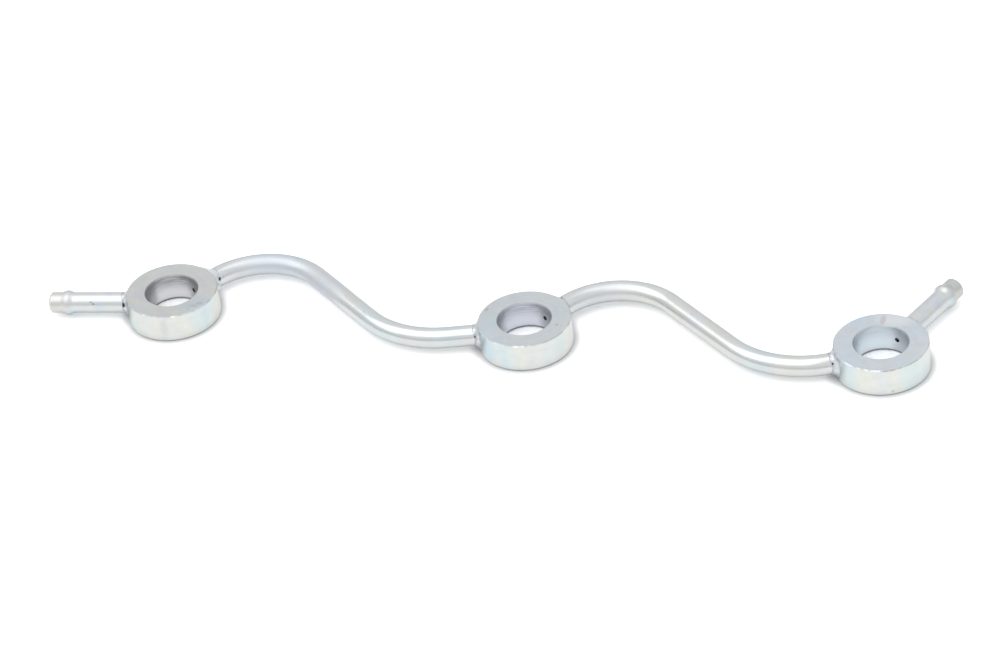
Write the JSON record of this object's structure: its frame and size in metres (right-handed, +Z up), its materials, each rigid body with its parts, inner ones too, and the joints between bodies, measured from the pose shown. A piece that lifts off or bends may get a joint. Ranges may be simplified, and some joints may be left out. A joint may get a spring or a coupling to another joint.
{
  "type": "fuel return pipe",
  "caption": "Brazed steel fuel return pipe: banjo eyes in a row, joined by S-bent tubes, with a beaded hose spigot at each end.",
  "frame": {"origin": "on the middle eye's bore axis, half way up the eye, in the plane that holds every tube's centre line", "axes": "+Z up along the bores, +X along the row of eyes towards the right-hand eye, +Y away from the viewer"},
  "size_m": [0.2162, 0.0406, 0.007],
  "materials": {
    "zinc_eye": "satin zinc plating",
    "zinc_pipe": "satin zinc plating",
    "zinc_spigot": "satin zinc plating",
    "zinc_braze": "satin zinc plating"
  },
  "bodies": {
    "root": {"left_eye": "zinc_eye", "middle_eye": "zinc_eye", "right_eye": "zinc_eye", "left_pipe": "zinc_pipe", "right_pipe": "zinc_pipe", "left_spigot": "zinc_spigot", "right_spigot": "zinc_spigot", "left_spigot_braze": "zinc_braze", "left_pipe_exit_braze": "zinc_braze", "left_pipe_arrival_braze": "zinc_braze", "right_pipe_exit_braze": "zinc_braze", "right_pipe_arrival_braze": "zinc_braze", "right_spigot_braze": "zinc_braze"}
  },
  "joints": []
}
